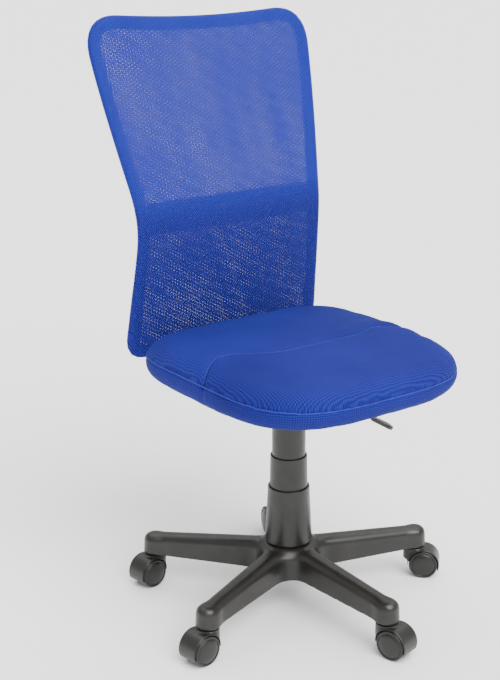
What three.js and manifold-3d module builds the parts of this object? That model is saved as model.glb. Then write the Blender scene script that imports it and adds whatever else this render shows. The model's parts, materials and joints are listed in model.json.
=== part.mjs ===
// Swivel office chair with a five-arm castor base, a height-adjustable gas column behind three
// telescopic covers, a padded seat and a mesh back on a looped frame.
// Units: millimetres. +Z is up, the sitter faces -Y, and the floor is z = 0.
import * as THREE from 'three';
import { mergeVertices } from 'three/addons/utils/BufferGeometryUtils.js';
import Module from 'manifold-3d';

const wasm = await Module();
wasm.setup();

// ---------------------------------------------------------------- driving dimensions
const CLEARANCE = 0.3; // gap left between neighbouring parts

// where the column stands, measured from the middle of the chair's bounding box
const COLUMN_X = -2.7;
const COLUMN_Y = 15.3;

// castors
const ARM_COUNT = 5;
const ARM_REACH = 240; // column axis to castor stem axis
const FIRST_ARM_ANGLE = 272.7; // degrees, the arm that points to the front
const WHEEL_RADIUS = 25;
const WHEEL_OUTER_FACE = 20.4; // from the castor's mid-plane to the wheel's rim
const WHEEL_DOME = 2.2;
const HOOD_RADIUS = 27.4;
const HOOD_POCKET_RADIUS = 25.9;
const HOOD_HALF_WIDTH = 20;
const HOOD_WEB_HALF = 6.5;
const CASTOR_TRAIL = 18; // stem axis to axle
const CASTOR_NECK_RADIUS = 18.4;
const CASTOR_TOP = 54.4;
const STEM_RADIUS = 5.5;
const AXLE_RADIUS = 3;
// the way each castor trails, in degrees, in the order of the arms from the front one
const CASTOR_HEADINGS = [285, 315, 73, 188, 188];

// base
const BASE_BOTTOM = 56;
const ARM_TIP_TOP = 91;
const ARM_ROOT_TOP = 106;
const ARM_TIP_HALF_WIDTH = 15.5;
const ARM_ROOT_HALF_WIDTH = 19;
const SOCKET_RADIUS = 18;
const HUB_TOP = 108.5;
const HUB_RADIUS = 44;
const HUB_SKIRT_RADIUS = 52;

// gas column
const TUBE_RADIUS = 25;
const TUBE_WALL = 1.5;
const TUBE_BOTTOM = 42;
const TUBE_TOP = 244;
const CYLINDER_RADIUS = 14;
const CYLINDER_BOTTOM = 131;
const CYLINDER_TOP = 384.8;
const ROD_RADIUS = 5;
const ROD_TOP = 240;

// telescopic covers
const COVER_LOWER_BOTTOM = 109;
const COVER_LOWER_TOP = 208;
const COVER_MIDDLE_BOTTOM = 150;
const COVER_MIDDLE_TOP = 263;
const COVER_UPPER_BOTTOM = 200;
const COVER_UPPER_TOP = 382;

// seat
const SEAT_HALF_WIDTH = 214;
const SEAT_FRONT = -258;
const SEAT_REAR = 172;
const CUSHION_BOTTOM = 400.5;
const CUSHION_TOP = 469;
const SEAM_HEIGHT = 441;
const BOARD_BOTTOM = 400.6;
const BOARD_TOP = BOARD_BOTTOM + 12;
const BOARD_INSET = 27;
const ARMREST_PAD_X = 130;
const ARMREST_PAD_Y = -30;
const ARMREST_PAD_HEIGHT = 1.5;
const PLATE_THICKNESS = 3;
const PLATE_TOP = BOARD_BOTTOM - CLEARANCE;
const PLATE_BOTTOM = PLATE_TOP - PLATE_THICKNESS;
const BOX_BOTTOM = 373.6; // lowest face of the pressed mechanism box

// back
const BACK_BOTTOM = 427; // centreline of the frame's bottom rail
const BACK_TOP = 956; // centreline of the top rail at the corners
const BACK_TOP_DIP = 5.5;
const BACK_BOTTOM_HALF_WIDTH = 185;
const BACK_WAIST_HALF_WIDTH = 171.5;
const BACK_TOP_HALF_WIDTH = 205;
const WAIST_HEIGHT = 648;
const WAIST_Y = 151.2;
const LOWER_SLOPE = -0.156; // the lower back comes forward as it rises
const UPPER_SLOPE = 0.31; // the upper back leans away
const WAIST_BLEND = 18;
const FRAME_HALF_WIDTH = 9.5; // in the plane of the back
const FRAME_HALF_DEPTH = 7; // across the plane of the back
const SHEET_THICKNESS = 1.2;
const BRACE_HALF_HEIGHT = 25;
const BRACE_HEIGHT_ABOVE_FLOOR = 653;

// bracket between seat and back
const BRACKET_HALF_WIDTH = 32;
const BRACKET_THICKNESS = 6;

// ---------------------------------------------------------------- materials
function paint(colour, roughness, metalness = 0) {
  return new THREE.MeshStandardMaterial({ color: colour, roughness, metalness });
}

const materials = {
  charcoalPlastic: () => paint(0x3b3b38, 0.55),
  wheelPlastic: () => paint(0x343432, 0.5),
  blackPlastic: () => paint(0x202020, 0.5),
  steel: () => paint(0xa8aaad, 0.32, 0.9),
  chromedSteel: () => paint(0xc9ccd0, 0.15, 1),
  blackSteel: () => paint(0x1d1d1e, 0.45, 0.7),
  plywood: () => paint(0xb48a5a, 0.75),
  seatFabric: () => paint(0x2446b4, 0.85),
  meshFabric: () => paint(0x2d52c4, 0.85),
};

// ---------------------------------------------------------------- geometry helpers
const radians = THREE.MathUtils.degToRad;

// Weld a geometry's corners and turn its faces outwards.
function solid(source) {
  const bare = source.clone();
  bare.deleteAttribute('normal');
  bare.deleteAttribute('uv');
  const geometry = mergeVertices(bare, 1e-4);
  dropThinFaces(geometry);
  if (signedVolume(geometry) < 0) {
    const index = geometry.index.array;
    for (let i = 0; i < index.length; i += 3) {
      [index[i], index[i + 1]] = [index[i + 1], index[i]];
    }
  }
  geometry.computeVertexNormals();
  return geometry;
}

// Leave out faces that welding has reduced to a line.
function dropThinFaces(geometry) {
  const index = geometry.index.array;
  const kept = [];
  for (let i = 0; i < index.length; i += 3) {
    const [a, b, c] = [index[i], index[i + 1], index[i + 2]];
    if (a !== b && b !== c && c !== a) kept.push(a, b, c);
  }
  geometry.setIndex(kept);
}

function signedVolume(geometry) {
  const corner = [new THREE.Vector3(), new THREE.Vector3(), new THREE.Vector3()];
  const index = geometry.index.array;
  let total = 0;
  for (let i = 0; i < index.length; i += 3) {
    corner.forEach((point, k) => point.fromBufferAttribute(geometry.attributes.position, index[i + k]));
    total += corner[0].dot(corner[1].clone().cross(corner[2])) / 6;
  }
  return total;
}

// Turn a profile of [radius, height] corners about Z. It starts and ends on the axis, or closes.
function turned(profile, segments = 32) {
  const points = profile.map(([radius, height]) => new THREE.Vector2(radius, height));
  const geometry = new THREE.LatheGeometry(points, segments);
  geometry.rotateX(Math.PI / 2);
  return solid(geometry);
}

// A ring or tube: the outer profile upwards, then the inner one downwards.
function sleeve(outer, inner, segments = 32) {
  return turned([...outer, ...inner, outer[0]], segments);
}

// Join equal rings of points into a closed skin, with a cap over each end.
function loft(rings) {
  const count = rings[0].length;
  const faces = [];
  for (let ring = 0; ring < rings.length - 1; ring++) {
    joinRings(faces, ring * count, (ring + 1) * count, count);
  }
  const lastRing = (rings.length - 1) * count;
  // each cap is a strip between the two halves of its ring
  for (let low = 0, high = count - 1; low < high - 1; low++, high--) {
    faces.push(low + 1, low, high);
    faces.push(lastRing + low, lastRing + low + 1, lastRing + high);
    if (low + 1 < high - 1) {
      faces.push(low + 1, high, high - 1);
      faces.push(lastRing + low + 1, lastRing + high - 1, lastRing + high);
    }
  }
  return indexed(rings.flat(), faces);
}

// Join equal rings of points into a closed loop, like an inner tube.
function loopLoft(rings) {
  const count = rings[0].length;
  const faces = [];
  for (let ring = 0; ring < rings.length; ring++) {
    joinRings(faces, ring * count, ((ring + 1) % rings.length) * count, count);
  }
  return indexed(rings.flat(), faces);
}

function joinRings(faces, first, second, count) {
  for (let i = 0; i < count; i++) {
    const next = (i + 1) % count;
    faces.push(first + i, first + next, second + next);
    faces.push(first + i, second + next, second + i);
  }
}

function indexed(points, faces) {
  const geometry = new THREE.BufferGeometry().setFromPoints(points);
  geometry.setIndex(faces);
  return solid(geometry);
}

function box(low, high) {
  const size = high.map((value, axis) => value - low[axis]);
  const geometry = new THREE.BoxGeometry(...size);
  geometry.translate(...low.map((value, axis) => value + size[axis] / 2));
  return solid(geometry);
}

function cylinder(radius, low, high, segments = 24) {
  return turned([[0, low], [radius, low], [radius, high], [0, high]], segments);
}

function moved(geometry, x, y, z) {
  return geometry.clone().translate(x, y, z);
}

function toManifold(geometry) {
  const welded = solid(geometry);
  return new wasm.Manifold(new wasm.Mesh({
    numProp: 3,
    vertProperties: new Float32Array(welded.attributes.position.array),
    triVerts: new Uint32Array(welded.index.array),
  }));
}

function fromManifold(body) {
  const mesh = body.getMesh();
  const geometry = new THREE.BufferGeometry();
  geometry.setAttribute('position', new THREE.BufferAttribute(new Float32Array(mesh.vertProperties), 3));
  geometry.setIndex(new THREE.BufferAttribute(new Uint32Array(mesh.triVerts), 1));
  return solid(geometry);
}

function combine(base, additions, cuts) {
  let body = toManifold(base);
  for (const extra of additions) body = body.add(toManifold(extra));
  for (const cut of cuts) body = body.subtract(toManifold(cut));
  return fromManifold(body);
}

const chair = new THREE.Group();
chair.name = 'office_chair';
chair.position.set(COLUMN_X, COLUMN_Y, 0);

function addPart(name, geometry, material, parent = chair) {
  const mesh = new THREE.Mesh(geometry, material());
  mesh.name = name;
  parent.add(mesh);
}

// ---------------------------------------------------------------- base
// One cross-section of an arm: flat below, straight sides and a rounded crown.
function armSection(reach, halfWidth, bottom, top) {
  const crown = halfWidth * 0.95;
  const section = [];
  for (let i = 0; i <= 6; i++) {
    const turn = Math.PI * i / 6;
    const across = halfWidth * Math.cos(turn);
    section.push(new THREE.Vector3(reach, across, top - crown + crown * Math.sin(turn)));
  }
  section.push(new THREE.Vector3(reach, -halfWidth, bottom));
  section.push(new THREE.Vector3(reach, halfWidth, bottom));
  return section;
}

function armBody() {
  const root = armSection(10, ARM_ROOT_HALF_WIDTH, BASE_BOTTOM, ARM_ROOT_TOP);
  const tip = armSection(ARM_REACH, ARM_TIP_HALF_WIDTH, BASE_BOTTOM, ARM_TIP_TOP - 1);
  return loft([root, tip]);
}

// The hollow under an arm, which leaves walls about 4 mm thick and stops short of the socket.
function armHollow() {
  const wall = 4;
  const root = armSection(34, ARM_ROOT_HALF_WIDTH - wall, BASE_BOTTOM - 5, ARM_ROOT_TOP - wall);
  const tip = armSection(ARM_REACH - 22, ARM_TIP_HALF_WIDTH - wall + 0.4, BASE_BOTTOM - 5, ARM_TIP_TOP - wall);
  return loft([root, tip]);
}

function stemSocket() {
  const shoulder = ARM_TIP_TOP - 12;
  const profile = [[0, BASE_BOTTOM], [SOCKET_RADIUS, BASE_BOTTOM], [SOCKET_RADIUS, shoulder]];
  for (let i = 1; i < 4; i++) {
    const turn = Math.PI / 2 * i / 4;
    profile.push([SOCKET_RADIUS - 12 + 12 * Math.cos(turn), shoulder + 12 * Math.sin(turn)]);
  }
  profile.push([0, ARM_TIP_TOP]);
  return turned(profile, 20);
}

function baseStar() {
  const hub = turned([
    [0, BASE_BOTTOM], [HUB_SKIRT_RADIUS, BASE_BOTTOM], [HUB_SKIRT_RADIUS - 1, BASE_BOTTOM + 24],
    [HUB_RADIUS + 1, ARM_ROOT_TOP - 12], [HUB_RADIUS - 3, HUB_TOP], [0, HUB_TOP],
  ], 30);
  const arms = [];
  const hollows = [];
  const ribs = [];
  const stemHoles = [];
  for (let i = 0; i < ARM_COUNT; i++) {
    const turn = radians(FIRST_ARM_ANGLE + i * 360 / ARM_COUNT);
    arms.push(armBody().rotateZ(turn));
    arms.push(moved(stemSocket(), ARM_REACH, 0, 0).rotateZ(turn));
    hollows.push(armHollow().rotateZ(turn));
    for (const reach of [115, 170]) {
      ribs.push(box([reach - 1.5, -14.8, BASE_BOTTOM + 6], [reach + 1.5, 14.8, BASE_BOTTOM + 24]).rotateZ(turn));
    }
    const hole = cylinder(STEM_RADIUS + CLEARANCE, BASE_BOTTOM - 5, ARM_TIP_TOP - 8, 12);
    stemHoles.push(moved(hole, ARM_REACH, 0, 0).rotateZ(turn));
  }
  const bore = cylinder(TUBE_RADIUS + CLEARANCE, 0, HUB_TOP + 10, 30);
  const wall = sleeve([[30, BASE_BOTTOM], [30, HUB_TOP - 3]], [[20, HUB_TOP - 3], [20, BASE_BOTTOM]], 30);
  const shell = combine(hub, arms, hollows);
  return combine(shell, [...ribs, wall], [bore, ...stemHoles]);
}

addPart('base_star', baseStar(), materials.charcoalPlastic);

// ---------------------------------------------------------------- castors
function castorHood() {
  const barrel = cylinder(HOOD_RADIUS, -HOOD_HALF_WIDTH, HOOD_HALF_WIDTH, 28).rotateX(Math.PI / 2);
  const drum = moved(barrel, CASTOR_TRAIL, 0, WHEEL_RADIUS);
  const neckLow = WHEEL_RADIUS + 8;
  const neck = turned([
    [0, neckLow], [CASTOR_NECK_RADIUS, neckLow], [CASTOR_NECK_RADIUS, CASTOR_TOP - 1.2],
    [CASTOR_NECK_RADIUS - 1.2, CASTOR_TOP], [0, CASTOR_TOP],
  ], 20);
  const pockets = [-1, 1].map((side) => {
    const pocket = cylinder(HOOD_POCKET_RADIUS, HOOD_WEB_HALF, 40, 28);
    return moved(pocket.rotateX(side * Math.PI / 2), CASTOR_TRAIL, 0, WHEEL_RADIUS);
  });
  // everything below a line that falls from the front of the wheels to their back is open
  const opening = box([-60, -50, -40], [60, 50, 0]).rotateY(radians(11));
  const below = moved(opening, CASTOR_TRAIL, 0, WHEEL_RADIUS - 6.3);
  const stemHole = cylinder(STEM_RADIUS + CLEARANCE, WHEEL_RADIUS + 12, CASTOR_TOP + 5, 12);
  const axleHole = cylinder(AXLE_RADIUS + CLEARANCE, -10, 10, 10).rotateX(Math.PI / 2);
  const cuts = [...pockets, below, stemHole, moved(axleHole, CASTOR_TRAIL, 0, WHEEL_RADIUS)];
  const whole = combine(drum, [neck], cuts);
  const disc = cylinder(10, -HOOD_WEB_HALF, HOOD_WEB_HALF, 16).rotateX(Math.PI / 2);
  const web = moved(disc, CASTOR_TRAIL, 0, WHEEL_RADIUS);
  return combine(whole, [web], [moved(axleHole, CASTOR_TRAIL, 0, WHEEL_RADIUS)]);
}

// A wheel with a domed outer face. Its axis is Z here, and the dome is on the +Z side.
function castorWheel() {
  const inner = HOOD_WEB_HALF + 0.5;
  const hole = AXLE_RADIUS + CLEARANCE;
  const profile = [
    [0, 16], [hole, 16], [hole, inner], [WHEEL_RADIUS, inner], [WHEEL_RADIUS, WHEEL_OUTER_FACE - 2],
    [WHEEL_RADIUS - 1.6, WHEEL_OUTER_FACE], [0, WHEEL_OUTER_FACE + WHEEL_DOME],
  ];
  return turned(profile, 24);
}

const hood = castorHood();
const wheel = castorWheel();
const stem = cylinder(STEM_RADIUS, 37.6, ARM_TIP_TOP - 8.6, 12);
const axle = cylinder(AXLE_RADIUS, -15.6, 15.6, 10).rotateX(Math.PI / 2);

for (let i = 0; i < ARM_COUNT; i++) {
  const armTurn = radians(FIRST_ARM_ANGLE + i * 360 / ARM_COUNT);
  const castor = new THREE.Group();
  castor.position.set(ARM_REACH * Math.cos(armTurn), ARM_REACH * Math.sin(armTurn), 0);
  castor.rotation.z = radians(CASTOR_HEADINGS[i]);
  chair.add(castor);
  const label = `castor_${i + 1}`;
  addPart(`${label}_stem`, stem, materials.steel, castor);
  addPart(`${label}_hood`, hood, materials.charcoalPlastic, castor);
  addPart(`${label}_axle`, moved(axle, CASTOR_TRAIL, 0, WHEEL_RADIUS), materials.steel, castor);
  for (const [side, quarterTurn] of [['left', -Math.PI / 2], ['right', Math.PI / 2]]) {
    const turnedWheel = moved(wheel.clone().rotateX(quarterTurn), CASTOR_TRAIL, 0, WHEEL_RADIUS);
    addPart(`${label}_wheel_${side}`, turnedWheel, materials.wheelPlastic, castor);
  }
}

// ---------------------------------------------------------------- gas column
const tubeInner = TUBE_RADIUS - TUBE_WALL;
const bottomPlate = 4;

addPart('outer_tube', sleeve(
  [[TUBE_RADIUS - 1, TUBE_BOTTOM], [TUBE_RADIUS, TUBE_BOTTOM + 3], [TUBE_RADIUS, TUBE_TOP]],
  [[tubeInner, TUBE_TOP], [tubeInner, TUBE_BOTTOM + bottomPlate], [ROD_RADIUS + 0.5, TUBE_BOTTOM + bottomPlate],
    [ROD_RADIUS + 0.5, TUBE_BOTTOM]],
  24,
), materials.blackSteel);

addPart('guide_bushing', sleeve(
  [[tubeInner - CLEARANCE, 184], [tubeInner - CLEARANCE, TUBE_TOP - 1], [tubeInner - CLEARANCE - 1, TUBE_TOP]],
  [[CYLINDER_RADIUS + 0.3, TUBE_TOP], [CYLINDER_RADIUS + 0.3, 184]],
  24,
), materials.blackPlastic);

const rodHead = 11.8;
addPart('piston_rod', turned([
  [0, 36], [ROD_RADIUS, 36], [ROD_RADIUS, 38], [ROD_RADIUS - 1, 38], [ROD_RADIUS - 1, 39.5], [ROD_RADIUS, 39.5],
  [ROD_RADIUS, ROD_TOP - 12], [rodHead, ROD_TOP - 12], [rodHead, ROD_TOP], [0, ROD_TOP],
], 16), materials.chromedSteel);

addPart('rod_clip', sleeve(
  [[9, 38.3], [9, 39.2]],
  [[ROD_RADIUS - 0.7, 39.2], [ROD_RADIUS - 0.7, 38.3]],
  20,
), materials.steel);

const bearingBottom = TUBE_BOTTOM + bottomPlate + CLEARANCE;
addPart('thrust_bearing', sleeve(
  [[14, bearingBottom], [14, bearingBottom + 7]],
  [[ROD_RADIUS + 0.3, bearingBottom + 7], [ROD_RADIUS + 0.3, bearingBottom]],
  24,
), materials.steel);

const cylinderInner = CYLINDER_RADIUS - 1.8;
const rodHole = ROD_RADIUS + CLEARANCE;
addPart('gas_cylinder', turned([
  [0, CYLINDER_TOP - 12], [3.2, CYLINDER_TOP - 12], [3.2, CYLINDER_TOP], [CYLINDER_RADIUS - 1, CYLINDER_TOP],
  [CYLINDER_RADIUS, 355], [CYLINDER_RADIUS, CYLINDER_BOTTOM], [rodHole, CYLINDER_BOTTOM],
  [rodHole, CYLINDER_BOTTOM + 10], [cylinderInner, CYLINDER_BOTTOM + 10], [cylinderInner, 345], [0, 345],
], 24), materials.chromedSteel);

addPart('release_pin', turned([
  [0, CYLINDER_TOP - 7], [2.8, CYLINDER_TOP - 7], [2.8, CYLINDER_TOP + 4.2], [0, CYLINDER_TOP + 4.2],
], 16), materials.steel);

// ---------------------------------------------------------------- telescopic covers
addPart('lower_cover', sleeve(
  [[37.6, COVER_LOWER_BOTTOM], [39.6, COVER_LOWER_BOTTOM + 3], [35, COVER_LOWER_TOP - 2], [34, COVER_LOWER_TOP]],
  [[32.2, COVER_LOWER_TOP], [32.2, COVER_LOWER_TOP - 3], [33.3, COVER_LOWER_TOP - 5],
    [35.6, COVER_LOWER_BOTTOM]],
  28,
), materials.charcoalPlastic);

addPart('middle_cover', sleeve(
  [[32.8, COVER_MIDDLE_BOTTOM], [32.8, COVER_MIDDLE_BOTTOM + 3], [31.8, COVER_MIDDLE_BOTTOM + 4],
    [30.8, COVER_MIDDLE_TOP - 1.5], [30, COVER_MIDDLE_TOP]],
  [[28.4, COVER_MIDDLE_TOP], [28.4, COVER_MIDDLE_TOP - 3], [29.4, COVER_MIDDLE_TOP - 5],
    [30, COVER_MIDDLE_BOTTOM]],
  28,
), materials.charcoalPlastic);

addPart('upper_cover', sleeve(
  [[29, COVER_UPPER_BOTTOM], [29, COVER_UPPER_BOTTOM + 3], [28, COVER_UPPER_BOTTOM + 4], [28, COVER_UPPER_TOP - 9]],
  [[25.9, COVER_UPPER_TOP - 9], [25.9, COVER_UPPER_BOTTOM]],
  28,
), materials.charcoalPlastic);

// ---------------------------------------------------------------- seat mechanism
const leverPivot = new THREE.Vector3(44, -28, 385.6);

// A pressed box, open above, that carries the column's taper and the lever.
function mechanismBox() {
  const [halfX, halfY, wall] = [46, 60, 2.5];
  const outer = box([-halfX, -halfY, BOX_BOTTOM], [halfX, halfY, PLATE_BOTTOM - CLEARANCE]);
  const inner = box([-halfX + wall, -halfY + wall, BOX_BOTTOM + wall], [halfX - wall, halfY - wall, 420]);
  const taperHole = cylinder(20 + CLEARANCE, BOX_BOTTOM - 10, BOX_BOTTOM + 10, 32);
  const leverSlot = box([halfX - 8, leverPivot.y - 10, 378], [halfX + 8, leverPivot.y + 9, 393.5]);
  return combine(outer, [], [inner, taperHole, leverSlot]);
}
addPart('mechanism_box', mechanismBox(), materials.blackSteel);

addPart('taper_socket', sleeve(
  [[20, BOX_BOTTOM - 2], [20, BOX_BOTTOM + 11]],
  [[CYLINDER_RADIUS, BOX_BOTTOM + 11], [CYLINDER_RADIUS + 0.3, BOX_BOTTOM - 2]],
  32,
), materials.steel);

const plateBolts = [[-62, -55], [62, -55], [-62, 55], [62, 55]];
const bracketSeatBolts = [[0, 92], [0, 128]];
const boltShank = 3;

function holesAt(places, low, high) {
  return places.map(([x, y]) => moved(cylinder(boltShank + 0.4, low, high, 10), x, y, 0));
}

function roundedPlate(halfX, halfY, corner, low, high) {
  const shape = new THREE.Shape();
  shape.moveTo(-halfX + corner, -halfY);
  shape.absarc(halfX - corner, -halfY + corner, corner, -Math.PI / 2, 0);
  shape.absarc(halfX - corner, halfY - corner, corner, 0, Math.PI / 2);
  shape.absarc(-halfX + corner, halfY - corner, corner, Math.PI / 2, Math.PI);
  shape.absarc(-halfX + corner, -halfY + corner, corner, Math.PI, Math.PI * 1.5);
  const geometry = new THREE.ExtrudeGeometry(shape, { depth: high - low, bevelEnabled: false, curveSegments: 4 });
  return moved(geometry, 0, 0, low);
}

addPart('seat_plate', combine(
  roundedPlate(80, 74, 12, PLATE_BOTTOM, PLATE_TOP),
  [],
  holesAt(plateBolts, PLATE_BOTTOM - 5, PLATE_TOP + 5),
), materials.blackSteel);

// A bolt whose head is at the bottom.
function bolt(headRadius, headHeight, length) {
  const profile = [
    [0, 0], [headRadius, 0], [headRadius, headHeight], [boltShank, headHeight],
    [boltShank, headHeight + length], [0, headHeight + length],
  ];
  return turned(profile, 6);
}

const seatBolt = bolt(6.5, 4, BOARD_TOP - PLATE_BOTTOM - 1);
plateBolts.forEach(([x, y], i) => {
  const placed = moved(seatBolt, x, y, PLATE_BOTTOM - CLEARANCE - 4);
  addPart(`plate_bolt_${i + 1}`, placed, materials.steel);
});

// ---------------------------------------------------------------- height lever
// The rod leaves the mechanism box, bends forward and down, and ends in a flat paddle.
const leverPath = new THREE.CatmullRomCurve3([
  new THREE.Vector3(-1, 0.6, 392.9),
  new THREE.Vector3(22, -14, 392.5),
  leverPivot,
  new THREE.Vector3(66, -50, 371),
  new THREE.Vector3(81, -78, 352),
  new THREE.Vector3(92, -96, 337),
]);

function leverRod() {
  const section = new THREE.Shape();
  section.absarc(0, 0, 3.5, 0, Math.PI * 2);
  const options = { steps: 14, extrudePath: leverPath, curveSegments: 4, bevelEnabled: false };
  return solid(new THREE.ExtrudeGeometry(section, options));
}
addPart('lever_rod', leverRod(), materials.blackSteel);

// Plan outline of the paddle, slightly wider at its tip.
function leverGrip() {
  const shape = new THREE.Shape();
  shape.moveTo(0, -8);
  shape.lineTo(28, -10.5);
  shape.absarc(30, 0, 10.7, -Math.PI / 2, Math.PI / 2);
  shape.lineTo(0, 8);
  shape.closePath();
  const options = {
    depth: 3, bevelEnabled: true, bevelThickness: 1.4, bevelSize: 1.4, bevelSegments: 2, curveSegments: 6,
  };
  const grip = moved(new THREE.ExtrudeGeometry(shape, options), 0, 0, -1.5);
  const along = new THREE.Vector3(0.72, -0.33, -0.45).normalize();
  const across = new THREE.Vector3(0, 0, 1).cross(along).normalize();
  const up = along.clone().cross(across);
  grip.applyMatrix4(new THREE.Matrix4().makeBasis(along, across, up));
  return moved(grip, 93.8, -98.2, 335.2);
}
addPart('lever_grip', leverGrip(), materials.blackPlastic);

// ---------------------------------------------------------------- seat
// Plan of the seat at an inset from its edge: a rounded oblong, softer at the front than the rear.
function seatOutline(inset, count, heightAt) {
  const middle = (SEAT_FRONT + SEAT_REAR) / 2;
  const ring = [];
  for (let i = 0; i < count; i++) {
    const turn = 2 * Math.PI * i / count;
    const power = Math.sin(turn) < 0 ? 2 / 3.2 : 2 / 5;
    const x = (SEAT_HALF_WIDTH - inset) * Math.sign(Math.cos(turn)) * Math.abs(Math.cos(turn)) ** power;
    const halfDepth = (SEAT_REAR - SEAT_FRONT) / 2 - inset;
    const y = middle + halfDepth * Math.sign(Math.sin(turn)) * Math.abs(Math.sin(turn)) ** power;
    ring.push(new THREE.Vector3(x, y, heightAt(y)));
  }
  return ring;
}

// The top falls away towards the front edge.
function frontFall(y) {
  return 8 * THREE.MathUtils.smoothstep(-y, 40, 300);
}

// The board as a solid, with its outline and height enlarged by a margin.
function boardBlank(margin) {
  const ring = (height) => seatOutline(BOARD_INSET - margin, 32, () => height);
  return loft([ring(BOARD_BOTTOM - 4 * margin), ring(BOARD_TOP + margin)]);
}

function seatCushion() {
  const round = 26;
  const levels = [80, 55, 30, 10].map((degrees) => [
    round * (1 - Math.cos(radians(degrees))), CUSHION_BOTTOM + round * (1 - Math.sin(radians(degrees))), 0,
  ]);
  levels.push(
    [0, SEAM_HEIGHT - 10, 0], [2.5, SEAM_HEIGHT, 0], [7, SEAM_HEIGHT + 11, 0.2], [17, SEAM_HEIGHT + 20, 0.5],
    [40, CUSHION_TOP - 4, 1], [85, CUSHION_TOP - 1, 1], [135, CUSHION_TOP, 1],
  );
  const rings = levels.map(([inset, height, share]) => seatOutline(inset, 36, (y) => height - share * frontFall(y)));
  return combine(loft(rings), [], [boardBlank(CLEARANCE)]);
}
addPart('seat_cushion', seatCushion(), materials.seatFabric);

// The board has two low pads under it for the feet of armrests.
function seatBoard() {
  const armrestPads = [-1, 1].map((side) => {
    const middle = side * ARMREST_PAD_X;
    const low = [middle - 32, ARMREST_PAD_Y - 24, BOARD_BOTTOM - ARMREST_PAD_HEIGHT];
    return box(low, [middle + 32, ARMREST_PAD_Y + 24, BOARD_BOTTOM + 2]);
  });
  const holes = holesAt([...plateBolts, ...bracketSeatBolts], BOARD_BOTTOM - 5, BOARD_TOP + 5);
  return combine(boardBlank(0), armrestPads, holes);
}
addPart('seat_board', seatBoard(), materials.plywood);

// ---------------------------------------------------------------- back
// Depth of the back's mid-surface at a height: two straight slopes joined by a smooth bend.
function backY(height) {
  const above = (height - WAIST_HEIGHT) / WAIST_BLEND;
  const bend = WAIST_BLEND * Math.log1p(Math.exp(above));
  return WAIST_Y + LOWER_SLOPE * (height - WAIST_HEIGHT) + (UPPER_SLOPE - LOWER_SLOPE) * bend;
}

// Unit normal of the mid-surface, which points to the rear.
function backNormal(height) {
  const slope = (backY(height + 0.5) - backY(height - 0.5));
  return new THREE.Vector3(0, 1, -slope).normalize();
}

// Right half of the frame's centreline in front view, from the bottom rail to the top rail.
function frameHalfPath() {
  const path = new THREE.Path();
  path.moveTo(0, BACK_BOTTOM);
  path.lineTo(BACK_BOTTOM_HALF_WIDTH - 24, BACK_BOTTOM);
  path.quadraticCurveTo(BACK_BOTTOM_HALF_WIDTH, BACK_BOTTOM, BACK_BOTTOM_HALF_WIDTH - 1, BACK_BOTTOM + 26);
  path.lineTo(BACK_WAIST_HALF_WIDTH + 2, WAIST_HEIGHT - 50);
  path.quadraticCurveTo(BACK_WAIST_HALF_WIDTH - 1, WAIST_HEIGHT, BACK_WAIST_HALF_WIDTH + 6, WAIST_HEIGHT + 50);
  path.bezierCurveTo(
    BACK_WAIST_HALF_WIDTH + 22, WAIST_HEIGHT + 150, BACK_TOP_HALF_WIDTH - 5, 850, BACK_TOP_HALF_WIDTH, 905,
  );
  path.bezierCurveTo(BACK_TOP_HALF_WIDTH + 4, 950, 184, BACK_TOP + 4, 148, BACK_TOP);
  path.quadraticCurveTo(70, BACK_TOP - BACK_TOP_DIP, 0, BACK_TOP - BACK_TOP_DIP);
  return path;
}

// The whole centreline as [x, z] corners, evenly spaced and closed.
function frameOutline(count) {
  const half = frameHalfPath().getSpacedPoints(count / 2);
  const right = half.map((p) => [p.x, p.y]);
  const left = half.slice(1, -1).reverse().map((p) => [-p.x, p.y]);
  return [...right, ...left];
}

function onBack(x, height, offset) {
  const normal = backNormal(height);
  return new THREE.Vector3(x, backY(height), height).addScaledVector(normal, offset);
}

function frameLoop() {
  const outline = frameOutline(60);
  const rings = outline.map(([x, z], i) => {
    const before = outline.at(i - 1);
    const after = outline[(i + 1) % outline.length];
    const along = onBack(after[0], after[1], 0).sub(onBack(before[0], before[1], 0)).normalize();
    const normal = backNormal(z);
    const outwards = along.clone().cross(normal).normalize();
    const centre = onBack(x, z, 0);
    const ring = [];
    for (let k = 0; k < 8; k++) {
      const turn = 2 * Math.PI * (k + 0.5) / 8;
      const power = 0.8;
      const across = FRAME_HALF_WIDTH * Math.sign(Math.cos(turn)) * Math.abs(Math.cos(turn)) ** power;
      const deep = FRAME_HALF_DEPTH * Math.sign(Math.sin(turn)) * Math.abs(Math.sin(turn)) ** power;
      ring.push(centre.clone().addScaledVector(outwards, across).addScaledVector(normal, deep));
    }
    return ring;
  });
  return loopLoft(rings);
}

const bracketBackBolts = [[-18, BACK_BOTTOM], [18, BACK_BOTTOM]];

// A cylinder along the back's normal at one place.
function backwardsCylinder(radius, low, high, x, height, segments = 10) {
  const geometry = cylinder(radius, low, high, segments);
  const turn = new THREE.Quaternion().setFromUnitVectors(new THREE.Vector3(0, 0, 1), backNormal(height));
  geometry.applyQuaternion(turn);
  const centre = onBack(x, height, 0);
  return moved(geometry, centre.x, centre.y, centre.z);
}

const frameBoltHoles = bracketBackBolts.map(([x, z]) => backwardsCylinder(boltShank + 0.4, -4, 20, x, z));
addPart('back_frame', combine(frameLoop(), [], frameBoltHoles), materials.blackPlastic);

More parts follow.
